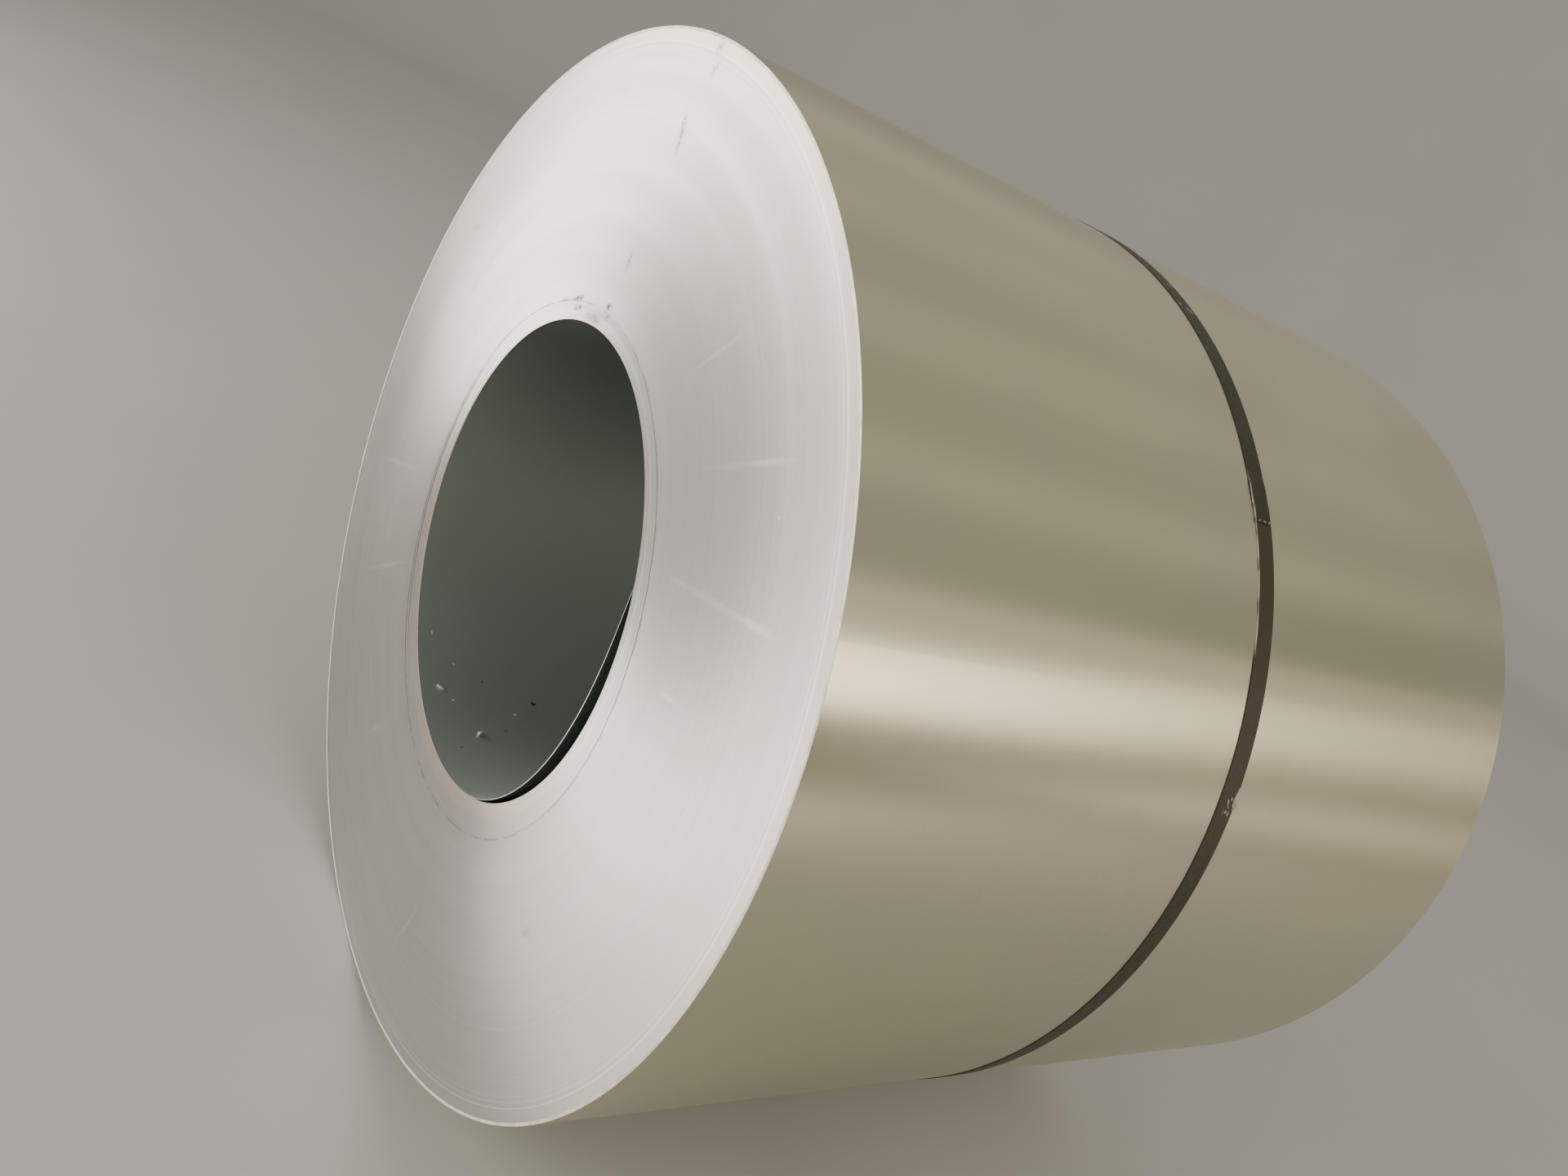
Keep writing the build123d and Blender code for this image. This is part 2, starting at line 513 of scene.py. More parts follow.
def make_lines_group():
    """Fine lines of rolling or of turns: noise that changes fast across the lines and slowly along them."""
    wires, starts, ends = new_group("rolling_lines", (
        ("Across", "NodeSocketFloat", 0.0), ("Place", "NodeSocketVector", (0, 0, 0)),
        ("Fineness", "NodeSocketFloat", 400.0), ("Run", "NodeSocketFloat", 3.0)), (
        ("Lines", "NodeSocketFloat"), ("Wide", "NodeSocketFloat")))
    slow = wires.add("ShaderNodeVectorMath", {0: starts["Place"]}, operation="SCALE")
    wires.join(starts["Run"], slow.inputs["Scale"])
    parts = wires.add("ShaderNodeSeparateXYZ", {0: slow.outputs[0]}).outputs
    for label, share, detail in (("Lines", 1.0, 3.0), ("Wide", 0.12, 2.0)):
        fast = wires.times(starts["Across"], wires.times(starts["Fineness"], share))
        vector = wires.add("ShaderNodeCombineXYZ", {"X": fast, "Y": parts[0], "Z": parts[2]}).outputs[0]
        wires.join(wires.noise(vector, 1.0, detail, 0.6), ends[label])


def make_smudge_group():
    """Soft patches, such as an oily film or handling: noise cut between two levels."""
    wires, starts, ends = new_group("smudges", (
        ("Place", "NodeSocketVector", (0, 0, 0)), ("Scale", "NodeSocketFloat", 4.0),
        ("Low", "NodeSocketFloat", 0.45), ("High", "NodeSocketFloat", 0.7)), (("Mask", "NodeSocketFloat"),))
    cloud = wires.noise(starts["Place"], starts["Scale"], 4.0, 0.6)
    wires.join(wires.spread(cloud, starts["Low"], starts["High"]), ends["Mask"])


def make_rub_group():
    """One oval mark, which serves for rubs and for painted highlight streaks: 1 in the middle of a long oval,
    falling to 0 at its edge. The distance is the root of the squares of the place along and across the oval,
    each over its half size."""
    wires, starts, ends = new_group("rub_mark", (
        ("U", "NodeSocketFloat", 0.0), ("V", "NodeSocketFloat", 0.0),
        ("Centre U", "NodeSocketFloat", 0.0), ("Centre V", "NodeSocketFloat", 0.0),
        ("Turn", "NodeSocketFloat", 0.0), ("Half length", "NodeSocketFloat", 0.02),
        ("Half width", "NodeSocketFloat", 0.004)), (("Mask", "NodeSocketFloat"),))
    du = wires.maths("SUBTRACT", starts["U"], starts["Centre U"])
    dv = wires.maths("SUBTRACT", starts["V"], starts["Centre V"])
    cosine = wires.maths("COSINE", starts["Turn"])
    sine = wires.maths("SINE", starts["Turn"])
    along = wires.plus(wires.times(du, cosine), wires.times(dv, sine))
    aside = wires.maths("SUBTRACT", wires.times(dv, cosine), wires.times(du, sine))
    along = wires.maths("DIVIDE", along, starts["Half length"])
    aside = wires.maths("DIVIDE", aside, starts["Half width"])
    squares = wires.plus(wires.times(along, along), wires.times(aside, aside))
    wires.join(wires.spread(wires.maths("SQRT", squares), 0.2, 1.0, 1.0, 0.0), ends["Mask"])


def make_groups():
    """All node groups that the materials share."""
    make_place_group()
    make_lines_group()
    make_smudge_group()
    make_rub_group()


def make_skin_material(colour):
    """Satin skin of the strip: gloss that changes along the rolling lines, an oil film in patches and a slight
    wave in the sheet."""
    wires = Finish("rolled_skin", 0.24, 1.0, 0.85)
    place = wires.group("place_on_coil")
    lines = wires.lines(place, "Depth", 500.0, 2.5)
    film = wires.smudges(place, 2.2, 0.40, 0.70)
    wires.set("Base Color", wires.blend(wires.times(film, 0.5), colour, (0.60, 0.60, 0.50)))
    wires.set("Roughness", wires.plus(wires.mottle(lines["Wide"], 0.235, 0.245), wires.times(film, 0.03)))
    wires.bump(wires.noise(place["Place"], 3.0, 1.0, 0.4), 1.0, 0.3 * MM)
    return wires.material


def make_ends_material(colour, line_drop):
    """Cut edges of the turns side by side. The knives' marks run across the strip's thickness, so the grain is
    turned a quarter. It has short streaks along the turns, faint rings, soft dirt, warmer bands under the eye
    and high on the rim, thin lighter rings, painted shade along the open line's groove, broken up by noise,
    and on the seen end dark rubs and painted highlight streaks along the radii."""
    wires = Finish("strip_edges", 0.50, 1.0, 0.9, 0.25)
    place = wires.group("place_on_coil")
    short = wires.lines(place, "Radius", 900.0, 35.0)
    rings = wires.lines(place, "Radius", 260.0, 1.5)
    dirt = wires.smudges(place, 5.0, 0.45, 0.75)
    shade = wires.blend(wires.mottle(short["Lines"], 0.0, 0.10), colour, (0.52, 0.49, 0.47))
    shade = wires.blend(wires.mottle(rings["Lines"], 0.0, 0.10), shade, (0.55, 0.52, 0.50))
    shade = wires.blend(wires.spread(rings["Wide"], 0.35, 0.65, 0.0, 0.08), shade, (0.55, 0.52, 0.50))
    shade = wires.blend(wires.times(dirt, 0.12), shade, (0.50, 0.48, 0.45))
    inner = wires.times(wires.spread(place["Radius"], LINE_INNER, LINE_INNER - 8 * MM),
                        wires.spread(place["Up"], 0.10, -0.20, 0.0, 0.5))
    outer = wires.times(wires.spread(place["Radius"], OUTSIDE_START + 5 * MM, OUTSIDE_START + 9 * MM),
                        wires.spread(place["Up"], 0.54, 0.63, 0.0, 0.7))
    shade = wires.blend(wires.plus(inner, outer), shade, (0.90, 0.82, 0.73))
    for radius, strength in LIGHT_RINGS:
        away = wires.maths("ABSOLUTE", wires.maths("SUBTRACT", place["Radius"], radius * MM))
        thin = wires.maths("SUBTRACT", 1.0, wires.maths("DIVIDE", away, 1.5 * MM), clamp=True)
        shade = wires.blend(wires.times(thin, strength), shade, (1.0, 0.97, 0.93))
    # Painted shade along the open line's groove: a thin dark ring centred below the axis, broken up by noise
    sine = wires.maths("DIVIDE", place["Up"], place["Radius"])
    centred = wires.maths("MULTIPLY_ADD", sine, line_drop, place["Radius"])
    off_line = wires.maths("ABSOLUTE", wires.maths("SUBTRACT", centred, LINE_OUTER + LINE_ASIDE))
    broken = wires.spread(wires.noise(place["Place"], 40.0, 3.0, 0.7), 0.42, 0.58)
    line = wires.times(wires.spread(off_line, 0.6 * MM, 1.6 * MM, 0.55, 0.0), broken)
    shade = wires.blend(line, shade, (0.30, 0.29, 0.27))
    # Lighter marks gather into painted highlight streaks, darker ones into rubs and scuffs
    light, dark = 0.0, 0.0
    for across, up, turn, half_length, half_width, strength in END_RUBS_AND_HIGHLIGHTS:
        mask = wires.rub(place["Across"], place["Up"], across * MM, up * MM, turn, half_length, half_width)
        mask = wires.times(mask, abs(strength))
        if strength > 0:
            light = wires.plus(mask, light)
        else:
            dark = wires.plus(mask, dark)
    seen = wires.maths("LESS_THAN", place["Depth"], 0.0)
    streaks = wires.spread(wires.noise(place["Place"], 330.0, 2.0, 0.6), 0.40, 0.55, 0.3, 1.6)
    dark = wires.maths("MULTIPLY", dark, streaks, clamp=True)
    # Painted highlight streaks on the seen end, then its dark rubs
    shade = wires.blend(wires.times(light, seen), shade, (1.0, 1.0, 1.0))
    wires.set("Base Color", wires.blend(wires.times(dark, seen), shade, (0.16, 0.17, 0.18)))
    wires.set("Roughness", wires.mottle(rings["Wide"], 0.48, 0.52))
    wires.bump(rings["Lines"], 0.5, 0.04 * MM)
    return wires.material


def make_rim_material():
    """The outermost turns' edges, rubbed bright and without the knives' grain."""
    wires = Finish("rubbed_rim", 0.60, 0.5)
    wear = wires.noise(wires.group("place_on_coil")["Place"], 60.0, 3.0, 0.6)
    worn = wires.spread(wear, 0.35, 0.65, 0.0, 0.5)
    wires.set("Base Color", wires.blend(worn, RUBBED_RIM, (0.60, 0.55, 0.48)))
    return wires.material


def make_eye_material(colour):
    """Steel inside the eye: duller and greener than the skin, with a faint mottled film. Painted shade darkens
    it overhead, and a painted bluish reflection tints it underneath."""
    wires = Finish("eye_steel", 0.50, 1.0, 0.4)
    place = wires.group("place_on_coil")
    film = wires.noise(place["Place"], 5.0, 2.0, 0.5)
    shade = wires.blend(wires.mottle(film, 0.0, 0.10), colour, (0.62, 0.66, 0.61))
    # Painted shade: darker towards the top of the eye
    shade = wires.blend(wires.spread(place["Up"], -0.06, 0.27), shade, [0.70 * part for part in colour])
    # Painted reflection: bluer towards the bottom of the eye
    shade = wires.blend(wires.spread(place["Up"], -0.10, -0.29), shade, (0.54, 0.625, 0.625))
    wires.set("Base Color", shade)
    return wires.material


def make_gap_shade_material():
    """Steel in the gap behind the loose lap, on the wall and on the lap's back: painted shade of the gap, darker
    in patches.
    """
    wires = Finish("oily_steel", 0.55, 0.5)
    gap_patches = wires.smudges(wires.group("place_on_coil"), 12.0, 0.35, 0.70)
    wires.set("Base Color", wires.blend(gap_patches, GAP_SHADE, DEEP_GAP_SHADE))
    return wires.material


def make_chip_material(name, colour, roughness):
    """Scale chips: uneven in colour, with a grain of their own."""
    wires = Finish(name, roughness, 0.0)
    grain = wires.smudges(wires.group("place_on_coil"), 700.0, 0.35, 0.7)
    wires.set("Base Color", wires.blend(grain, colour, [0.6 * part for part in colour]))
    wires.bump(grain, 0.5, 0.3 * MM)
    return wires.material


def make_bare_material(name, colour):
    """Steel of the strap where its paint is gone or half gone, with small dents."""
    wires = Finish(name, 0.45, 0.25)
    dents = wires.smudges(wires.group("place_on_coil"), 900.0, 0.3, 0.7)
    wires.set("Base Color", wires.blend(dents, colour, [0.55 * part for part in colour]))
    wires.bump(dents, 0.6, 0.2 * MM)
    return wires.material


def make_strap_material(strap):
    """Painted strap: dark paint with a faint grain, browner towards the tear and greener below it. Along the
    near edge beside the lap a pale, half metallic strip is worn steel together with a painted highlight where
    that edge catches light. Steel shows through the paint in scratches and scuffs."""
    wires = Finish("strap_paint", 0.50, 0.0)
    place = wires.group("place_on_coil")
    on_strap = wires.add("ShaderNodeUVMap", uv_map="across_along").outputs[0]
    across, along = wires.add("ShaderNodeSeparateXYZ", {0: on_strap}).outputs[:2]
    grain = wires.smudges(place, 160.0, 0.35, 0.65)
    shade = wires.blend(grain, strap.paint, [1.3 * part for part in strap.paint])
    brown_start, notch, green = [way_of(strap, math.radians(angle)) for angle in (29, 17, 11)]
    shade = wires.blend(wires.spread(along, brown_start, notch, 0.0, 0.8), shade, (0.048, 0.035, 0.016))
    shade = wires.blend(wires.spread(along, notch, green, 0.0, 0.9), shade, (0.026, 0.027, 0.013))
    bare_and_edge_highlight = 0.0
    for angle, aside, half_length, half_width, turn, strength in STRAP_MARKS:
        way = way_of(strap, math.radians(angle))
        mask = wires.rub(across, along, aside * MM, way, turn, half_length, half_width)
        bare_and_edge_highlight = wires.maths("MAXIMUM", wires.times(mask, strength), bare_and_edge_highlight)
    scratchy = wires.spread(wires.noise(place["Place"], 420.0, 2.0, 0.6), 0.35, 0.55, 0.2, 1.0)
    bare_and_edge_highlight = wires.times(bare_and_edge_highlight, scratchy)
    # Pale strip along the near edge beside the lap: worn steel together with the edge's painted highlight
    near_edge = -strap.width / 2
    edge = wires.spread(across, near_edge + 2.0 * MM, near_edge + 1.1 * MM)
    whole = strap_length(strap)
    start, end = wires.spread(along, 0.205, 0.175), wires.spread(along, whole - 0.07, whole - 0.04)
    patchy = wires.spread(wires.noise(place["Place"], 45.0, 2.0, 0.6), 0.38, 0.60, 0.35, 1.0)
    edge = wires.times(wires.times(edge, wires.maths("MAXIMUM", start, end)), patchy)
    bare_and_edge_highlight = wires.maths("MAXIMUM", edge, bare_and_edge_highlight)
    wires.set("Base Color", wires.blend(bare_and_edge_highlight, shade, strap.bare_and_edge_highlight))
    wires.set("Metallic", wires.times(bare_and_edge_highlight, 0.5))
    wires.set("Roughness", wires.spread(grain, 0.0, 1.0, 0.45, 0.55))
    return wires.material


# Pieces

def turn_bands(seed=11):
    """Radius, drift and slip of both sides of each band of turns, from the eye outwards. A ring is cut into its
    bands at uneven places. A band drifts as its ring does, which goes from its first drift to its last by a
    smooth step, plus a small slip of its own."""
    chance = np.random.default_rng(seed)
    inner = EYE_RADIUS
    radii, drifts, slips = [], [], []
    for outer, first, last, count, slip in RINGS:
        outer, first, last, slip = [value * MM for value in (outer, first, last, slip)]
        widths = chance.uniform(0.5, 1.5, count)
        share = np.concatenate([[0], np.cumsum(widths) / widths.sum()])
        edges = inner + (outer - inner) * share
        ring_drift = first + (last - first) * smooth_step(share)
        radii.append(np.stack([edges[:-1], edges[1:]], axis=1).ravel())
        drifts.append(np.stack([ring_drift[:-1], ring_drift[1:]], axis=1).ravel())
        slips.append(np.repeat(chance.uniform(-1, 1, count) * slip, 2))
        inner = outer
    return np.concatenate(radii), np.concatenate(drifts), np.concatenate(slips)


def wall_radius(angle, thickness, lap):
    """Radius of the eye's wall: it grows clockwise by one strip in a turn from the free end, and is one strip
    more behind the loose lap, down to where the lap lies on it."""
    share = share_round(angle, lap.free_angle)
    loose = lap.sweep / math.tau
    behind = 1 - smooth_step((share - 0.88 * loose) / (0.12 * loose))
    return EYE_RADIUS + thickness * (share - 0.5 + behind)


def skin_radius(angle, turns):
    """Radius of the skin: one strip less just clockwise of the tail, and growing back to full size in a turn."""
    return SKIN_RADIUS + turns.strip_thickness * (share_round(angle, turns.tail_angle) - 1)


def make_turns(turns, lap, materials):
    """The wound strip as one closed surface. A profile runs from the eye out over the seen end, along the skin
    and back over the hidden end, and is carried round the axis. Each turn is as wide as the strip, so both ends
    have the same drifts. Beside the eye the bands slip up to eight times as far round 200 degrees. The eye's
    wall and the skin follow the spiral, with a step at each end of the strip, and the open line with its
    neighbours is moved down, because its circle is centred below the axis."""
    radii, drifts, slips = turn_bands()
    step = 0.02 * MM
    grid = np.linspace(0, math.tau, turns.columns, endpoint=False)
    ends = np.array([turns.tail_angle, lap.free_angle])
    angles = np.sort(np.concatenate([grid, ends - step / EYE_RADIUS, ends + step / EYE_RADIUS]))
    weight_eye = 1 - smooth_step((radii - EYE_RADIUS) / (EYE_RING - EYE_RADIUS))
    weight_skin = smooth_step((radii - OUTSIDE_START) / (OUTSIDE_FULL - OUTSIDE_START))
    weight_line = np.interp(radii, (EYE_RING, LINE_INNER, LINE_OUTER, LINE_SETTLED), (0, 1, 1, 0))
    line_shift = LINE_ASIDE - turns.line_drop * np.sin(angles)
    radius = (radii[:, None] + weight_line[:, None] * line_shift
              + weight_eye[:, None] * (wall_radius(angles, turns.strip_thickness, lap) - EYE_RADIUS)
              + weight_skin[:, None] * (skin_radius(angles, turns) - SKIN_RADIUS))
    beside_eye = (radii < LINE_INNER)[:, None]
    low_left = smooth_step(1 - np.abs(angles - math.radians(200)) / 1.1)
    uneven = 1 + 7 * beside_eye * low_left
    drift = np.clip(drifts[:, None] + slips[:, None] * uneven, 0, MOST_DRIFT)
    bevel = 0.25 * MM
    wide = np.concatenate([radius[:1], radius, radius[-1:]])
    wide[1] += bevel
    wide[-2] -= bevel
    deep = np.concatenate([drift[:1], drift, drift[-1:]])
    inset = np.zeros((len(deep), 1))
    inset[[0, -1]] = bevel
    profile_radius = np.concatenate([wide, wide[::-1]])
    profile_y = np.concatenate([SEEN_Y + deep + inset, (HIDDEN_Y + deep - inset)[::-1]])
    points = round_axis(profile_radius, angles[None, :], profile_y)
    faces = grid_quads(len(profile_radius), len(angles), True, True)
    steps = np.hypot(np.diff(profile_radius[:, 0], append=profile_radius[0, 0]),
                     np.diff(profile_y[:, 0], append=profile_y[0, 0]))
    uv = grid_uv(np.append(0, np.cumsum(steps)), np.append(angles, angles[0] + math.tau) * SKIN_RADIUS)
    rim = 3 * np.append(radii > RIM_START + 0.001 * MM, True)
    kinds = np.repeat(np.concatenate([rim, [1], rim[::-1], [2]])[:, None], len(angles), axis=1)
    behind_lap = share_round(angles, lap.free_angle) * math.tau < lap.sweep
    # The wall behind the loose lap takes the painted shade of the gap
    kinds[-1, behind_lap] = 4
    return make_piece("coil_turns", points, faces, materials, kinds.ravel(), uv, sharp=20.0)


def lap_gap(share, lap):
    """Gap behind the loose lap at a share of its stretch from the free end: it rises as the share to the
    power 0.78 and falls as the rest to the power 1.6, over the same at its widest place."""
    rise, fall = 0.78, 1.6
    widest = rise / (rise + fall)
    peak = widest ** rise * (1 - widest) ** fall
    return lap.stand_off * np.clip(share, 0, 1) ** rise * np.clip(1 - share, 0, 1) ** fall / peak


def make_lap(turns, lap, materials):
    """The first turn where it stands off the wall. Its section is the strip's, carried from the free end
    clockwise to where it lies on the wall, flush with the turns beyond. Its inner face is the spiral less the
    gap."""
    share = np.linspace(0, 1, 181)
    angles = lap.free_angle - share * lap.sweep
    spiral = EYE_RADIUS + turns.strip_thickness * (share * lap.sweep / math.tau - 0.5)
    inner = spiral - lap_gap(share, lap) - 0.03 * MM
    outer = inner + turns.strip_thickness
    sidestep = (MOST_DRIFT - EYE_DRIFT) * (1 - share) ** 2
    seen = SEEN_Y + EYE_DRIFT + sidestep
    hidden = HIDDEN_Y + EYE_DRIFT + sidestep
    radius = np.stack([inner, inner, outer, outer])
    points = round_axis(radius, angles[None, :], np.stack([seen, hidden, hidden, seen]))
    across = np.cumsum([0, STRIP_WIDTH, turns.strip_thickness, STRIP_WIDTH, turns.strip_thickness])
    uv = np.concatenate([grid_uv(across, -angles * EYE_RADIUS), np.zeros((2, 4, 2))])
    kinds = np.append(np.repeat([0, 1, 2, 1], len(share) - 1), [1, 1])
    return make_piece("inner_lap", points, bar_faces(len(share)), materials, kinds, uv, sharp=30.0)


def make_pebbles(name, seats, materials, seed):
    """Flat pebbles joined in one piece. Each one's outline is an oval with three uneven waves, and it rises
    from its rim to its middle as a squashed ball does. A seat gives the angle, Y and radius of the surface
    under the pebble, 1 where outwards is up or -1 where inwards is, then length, width, height, turn and
    material."""
    chance = np.random.default_rng(seed)
    rows, columns = 7, 14
    around = np.linspace(0, math.tau, columns, endpoint=False)[None, :]
    rise = np.linspace(-0.48, 0.48, rows)[:, None] * math.pi
    rim = np.arange(columns)
    lids = [[rim[0], rim[i], rim[i + 1], rim[i + 2]] for i in range(1, columns - 2, 2)]
    low, high = np.array(lids)[:, ::-1], np.array(lids) + (rows - 1) * columns
    shape = np.concatenate([grid_quads(rows, columns, columns_close=True), low, high])
    all_points, kinds = [], []
    for angle, y, radius, up, length, width, height, turn, kind in seats:
        waves = chance.uniform(0.05, 0.22, 3)
        phases = chance.uniform(0, math.tau, 3)
        outline = 1 + sum(wave * np.sin((index + 2) * around + phase)
                          for index, (wave, phase) in enumerate(zip(waves, phases)))
        along = 0.5 * length * outline * np.cos(rise) * np.cos(around)
        aside = 0.5 * width * outline * np.cos(rise) * np.sin(around)
        lift = 0.5 * height * (1 + np.sin(rise)) + 0 * around
        turn = math.radians(turn)
        sideways = along * math.sin(turn) + aside * math.cos(turn)
        points = round_axis(radius + up * (lift - 0.2 * MM), math.radians(angle) + sideways / radius,
                            y + along * math.cos(turn) - aside * math.sin(turn))
        all_points.append(points.reshape(-1, 3))
        kinds += [kind] * len(shape)
    faces = np.concatenate([shape + index * rows * columns for index in range(len(seats))])
    return make_piece(name, np.concatenate(all_points), faces, materials, kinds, sharp=50.0)


def make_chips(turns, lap, materials):
    """Chips and specks of scale on the eye's wall."""
    seats = []
    for angle, depth, length, width, height, turn, pale in EYE_CHIPS:
        wall = float(wall_radius(math.radians(angle), turns.strip_thickness, lap))
        y = SEEN_Y + EYE_DRIFT + depth * MM
        seats.append((angle, y, wall, -1, length * MM, width * MM, height * MM, turn, 0 if pale else 1))
    return make_pebbles("eye_chips", seats, materials, seed=5)


def place_piece(piece, slot, *nodes):
    """The piece rides on the coil's one body, and stands for the nodes that it replaces."""
    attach(piece, "root")
    if nodes:
        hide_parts(*nodes)


def strap_stations(strap):
    """Ways along the strap from its lower tip, close together where its ends lie over each other and where it
    is torn."""
    whole = strap_length(strap)
    notch = way_of(strap, strap.notch_angle)
    tongue = 20 * MM
    sudden = 0.05 * MM
    ways = [np.linspace(0, whole, 320), np.linspace(0, 0.07, 60), np.linspace(whole - 0.09, whole, 80),
            np.linspace(notch - 0.02, notch + 0.02, 80),
            [tongue - sudden, tongue + sudden, whole - tongue - sudden, whole - tongue + sudden]]
    return np.unique(np.round(np.concatenate(ways), 6))


def strap_length(strap):
    """Way along the strap from its lower tip to its upper tip, once round and over the lap."""
    return (strap.lower_tip - strap.upper_tip + math.tau) * SKIN_RADIUS


def way_of(strap, angle):
    """Way along the strap at which it first passes an angle."""
    return share_round(angle, strap.lower_tip) * math.tau * SKIN_RADIUS


def make_strap(turns, strap, materials):
    """The strap as one closed band, from its lower tip once round the coil and over itself to its upper tip.
    Its section is a flat bar with its corners taken off. It lies on the skin, bridges the step at the strip's
    tail, and climbs one thickness before it passes over its lower end. Both ends are narrower on one side."""
    ways = strap_stations(strap)
    whole = strap_length(strap)
    angles = strap.lower_tip - ways / SKIN_RADIUS
    bridge = math.radians(4)
    after_tail = share_round(angles, turns.tail_angle) * math.tau
    bridging = turns.strip_thickness * np.clip(1 - after_tail / bridge, 0, 1)
    overlap = (strap.lower_tip - strap.upper_tip) * SKIN_RADIUS
    climb = 14 * MM
    lift = strap.thickness * smooth_step((ways - (whole - overlap - climb)) / climb)
    base = skin_radius(angles, turns) + bridging + lift
    right_edge = STRAP_HIGH.y
    sidestep = right_edge - strap.width - STRAP_LOW.y
    middle = right_edge - strap.width / 2 - sidestep * smooth_step((ways - (whole - 0.45)) / 0.40)
    tongue, tongue_cut = 20 * MM, 1.5 * MM
    notch = way_of(strap, strap.notch_angle)
    tear_ways, tear_shares = (-0.0132, -0.0118, 0.0023, 0.0100, 0.0138), (0, 0.35, 1, 0.8, 0)
    torn = 4.6 * MM * np.interp(ways - notch, tear_ways, tear_shares)
    ragged = 0.12 * MM * np.sin(ways * 900) * np.sin(ways * 431 + 1)
    left = middle - strap.width / 2 + tongue_cut * (ways > whole - tongue) + 0.5 * ragged * (ways > 0.02)
    right = middle + strap.width / 2 - tongue_cut * (ways < tongue) - torn - np.abs(ragged) * (torn > 0) * 4
    corner = 0.15 * MM
    thick = strap.thickness
    y = np.stack([left + corner, right - corner, right, right, right - corner, left + corner, left, left])
    heights = np.array([0, 0, corner, thick - corner, thick, thick, thick - corner, corner])
    points = round_axis(base + heights[:, None], angles[None, :], y)
    columns = len(ways)
    faces = grid_quads(8, columns, rows_close=True)
    caps = np.array([[0, 1, 2, 7], [7, 2, 3, 6], [6, 3, 4, 5]]) * columns
    caps = np.concatenate([caps, caps[:, ::-1] + columns - 1])
    half = strap.width / 2
    across = np.array([-half, half, half, half, half, -half, -half, -half, -half])
    uv = np.concatenate([grid_uv(across, ways), np.zeros((6, 4, 2))])
    return make_piece("strap_band", points, np.concatenate([faces, caps]), materials, None, uv, sharp=35.0)


def make_keys(strap, materials):
    """Tabs pressed out of the strap's upper end, which lock it to the lower one."""
    top = SKIN_RADIUS + 2 * strap.thickness
    angle = math.degrees(strap.upper_tip + 2.5 * MM / top)
    middle = (STRAP_LOW.y + STRAP_HIGH.y) / 2
    seats = [(angle, middle + across * MM, top, 1, length * MM, width * MM, 1.1 * MM, turn, 0)
             for across, length, width, turn in KEY_TABS]
    return make_pebbles("strap_keys", seats, materials, seed=3)


def make_burr(strap, materials):
    """Sliver torn out of the strap's far edge. It is a flat bar whose middle line bows out past the torn edge
    and up from the strap as the sine of its share of the way, with small waves, and which thins towards its
    tip."""
    share = np.linspace(0, 1, 25)
    bow = np.sin(math.pi * share)
    length = 14 * MM
    angles = strap.notch_angle - (1 * MM + length * share) / SKIN_RADIUS
    radius = SKIN_RADIUS + strap.thickness * (0.6 + 1.6 * bow)
    y = STRAP_HIGH.y - 4.3 * MM + 2.3 * MM * bow ** 0.8 + 2.5 * MM * share + 0.4 * MM * np.sin(11 * share)
    half_width = (2.8 - 1.6 * share + 0.5 * np.sin(17 * share)) * MM
    half_thick = 0.28 * MM
    tilt = math.radians(35) + math.radians(40) * share
    wide = np.stack([-half_width, half_width, half_width, -half_width])
    thick = half_thick * np.array([-1, -1, 1, 1])[:, None]
    across = wide * np.cos(tilt) - thick * np.sin(tilt)
    up = wide * np.sin(tilt) + thick * np.cos(tilt)
    points = round_axis(radius + up, angles[None, :], y + across)
    return make_piece("strap_burr", points, bar_faces(len(share)), materials, sharp=40.0)


class COIL_OT_wind_turns(bpy.types.Operator):
    """Winds the coil: one closed surface with bands of turns on both ends"""

    bl_idname = "coil.wind_turns"
    bl_label = "Wind the turns"

    def execute(self, context):
        turns, lap = context.scene.coil_turns, context.scene.coil_lap
        materials = [make_ends_material(turns.edge_steel, turns.line_drop), make_skin_material(turns.steel),
                     make_eye_material(turns.eye_steel), make_rim_material(), make_gap_shade_material()]
        place_piece(make_turns(turns, lap, materials), "rolled_steel", "coil")
        return {"FINISHED"}


class COIL_OT_ease_inner_lap(bpy.types.Operator):
    """Adds the first turn where it stands off the eye's wall"""

    bl_idname = "coil.ease_inner_lap"
    bl_label = "Ease the inner lap"

    def execute(self, context):
        materials = [bpy.data.materials[name] for name in ("eye_steel", "strip_edges", "oily_steel")]
        place_piece(make_lap(context.scene.coil_turns, context.scene.coil_lap, materials), "rolled_steel")
        return {"FINISHED"}


class COIL_OT_scatter_chips(bpy.types.Operator):
    """Lays the chips of scale on the eye's wall"""

    bl_idname = "coil.scatter_chips"
    bl_label = "Scatter the chips"

    def execute(self, context):
        materials = [make_chip_material("pale_chip", PALE_CHIP, 0.4),
                     make_chip_material("dark_chip", DARK_CHIP, 0.6)]
        place_piece(make_chips(context.scene.coil_turns, context.scene.coil_lap, materials), None)
        return {"FINISHED"}


class COIL_OT_tighten_strap(bpy.types.Operator):
    """Puts the strap round the coil, with its lap and its torn edge"""

    bl_idname = "coil.tighten_strap"
    bl_label = "Tighten the strap"

    def execute(self, context):
        strap = context.scene.coil_strap
        band = make_strap(context.scene.coil_turns, strap, [make_strap_material(strap)])
        place_piece(band, "strap_paint", "strap")
        place_piece(make_keys(strap, [make_bare_material("rubbed_keys", RUBBED_KEYS)]), "strap_paint")
        place_piece(make_burr(strap, [make_bare_material("torn_steel", TORN_STEEL)]), "rolled_steel")
        return {"FINISHED"}


